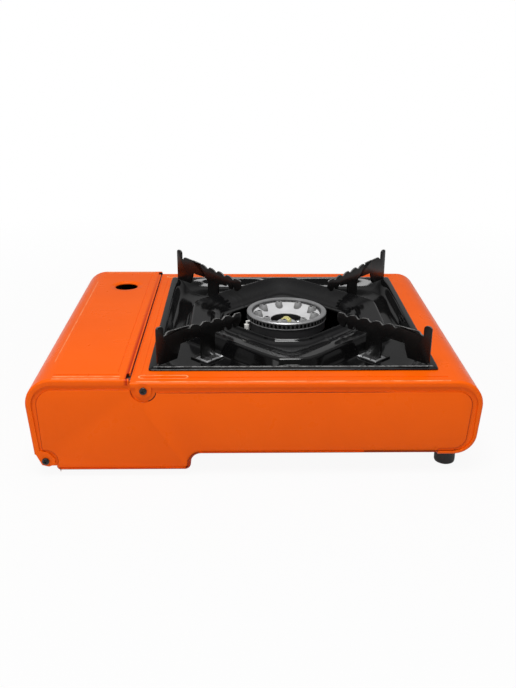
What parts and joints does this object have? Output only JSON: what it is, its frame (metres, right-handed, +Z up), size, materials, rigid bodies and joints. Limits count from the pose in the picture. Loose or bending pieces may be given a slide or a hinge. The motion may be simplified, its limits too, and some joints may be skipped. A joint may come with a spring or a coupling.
{
  "type": "butane cassette stove",
  "caption": "Low tabletop gas stove: folded steel body, hinged cartridge lid, drip tray with round burner and toothed pan supports, front control knob and lock lever.",
  "frame": {"origin": "on the ground, under the middle of the bounding box", "axes": "+Z up, +X along the width towards the cartridge lid, -Y towards the front with the knob"},
  "size_m": [0.34, 0.297, 0.111],
  "materials": {
    "orange_paint": "gloss powder coat",
    "black_enamel": "glossy vitreous enamel",
    "zinc_steel": "zinc plated",
    "bright_steel": "bright zinc",
    "heat_steel": "rolled",
    "die_cast": "die cast",
    "tube_steel": "drawn",
    "dark_steel": "heat-proof matt",
    "brass": "turned",
    "black_screws": "blackened",
    "rubber": "moulded",
    "knob_plastic": "fine grain",
    "lever_steel": "black powder coat",
    "igniter_case": "smooth",
    "wire_sleeve": "silicone sleeve",
    "ceramic": "glazed ceramic",
    "dial_metal": "plain"
  },
  "bodies": {
    "stove": {"base_pan": "orange_paint", "top_casing": "orange_paint", "bay_partition": "zinc_steel", "cartridge_cradle": "zinc_steel", "collar_guide": "zinc_steel", "pusher_rail": "zinc_steel", "burner_stand": "zinc_steel", "electrode_bracket": "zinc_steel", "air_shutter": "zinc_steel", "lever_pivot_pin": "zinc_steel", "regulator_screws": "bright_steel", "burner_screws": "bright_steel", "foot_screws": "bright_steel", "heat_plate": "heat_steel", "regulator_body": "die_cast", "regulator_cover": "die_cast", "burner_head": "die_cast", "mixing_tube": "tube_steel", "burner_cup": "dark_steel", "cartridge_inlet": "brass", "gas_jet": "brass", "burner_nut": "brass", "pivot_screw_front": "black_screws", "pivot_screw_rear": "black_screws", "casing_screws": "black_screws", "foot_front_left": "rubber", "foot_front_right": "rubber", "foot_rear_left": "rubber", "foot_rear_right": "rubber", "inlet_gasket": "rubber", "piezo_igniter": "igniter_case", "ignition_wire": "wire_sleeve", "igniter_electrode": "ceramic", "dial_plate": "dial_metal"},
    "lid": {"lid": "orange_paint", "lid_bumpers": "rubber"},
    "drip_tray": {"drip_tray": "black_enamel", "support_front_left": "black_enamel", "support_front_right": "black_enamel", "support_rear_left": "black_enamel", "support_rear_right": "black_enamel", "support_rivets": "bright_steel"},
    "control_knob": {"control_knob": "knob_plastic", "control_shaft": "brass"},
    "lock_lever": {"lock_lever": "lever_steel"},
    "cartridge_pusher": {"cartridge_pusher": "zinc_steel"}
  },
  "joints": [
    {"name": "lid_hinge", "type": "hinge", "parent": "stove", "child": "lid", "pos_m": [0.1585, 0.01, 0.0133], "axis": [0, 1, 0], "range_deg": [0, 80]},
    {"name": "tray_lift", "type": "slide", "parent": "stove", "child": "drip_tray", "axis": [0, 0, 1], "range_m": [0, 0.045]},
    {"name": "knob_turn", "type": "hinge", "parent": "stove", "child": "control_knob", "pos_m": [0.096, -0.135, 0.043], "axis": [0, -1, 0], "range_deg": [0, 110]},
    {"name": "lever_turn", "type": "hinge", "parent": "stove", "child": "lock_lever", "pos_m": [0.062, -0.0965, 0.0395], "axis": [1, 0, 0], "range_deg": [0, 28]},
    {"name": "pusher_slide", "type": "slide", "parent": "stove", "child": "cartridge_pusher", "axis": [0, -1, 0], "range_m": [0, 0.0095]}
  ],
  "couplings": [
    {"joint": "pusher_slide", "follows": "lever_turn", "m_per_rad": 0.0194}
  ]
}
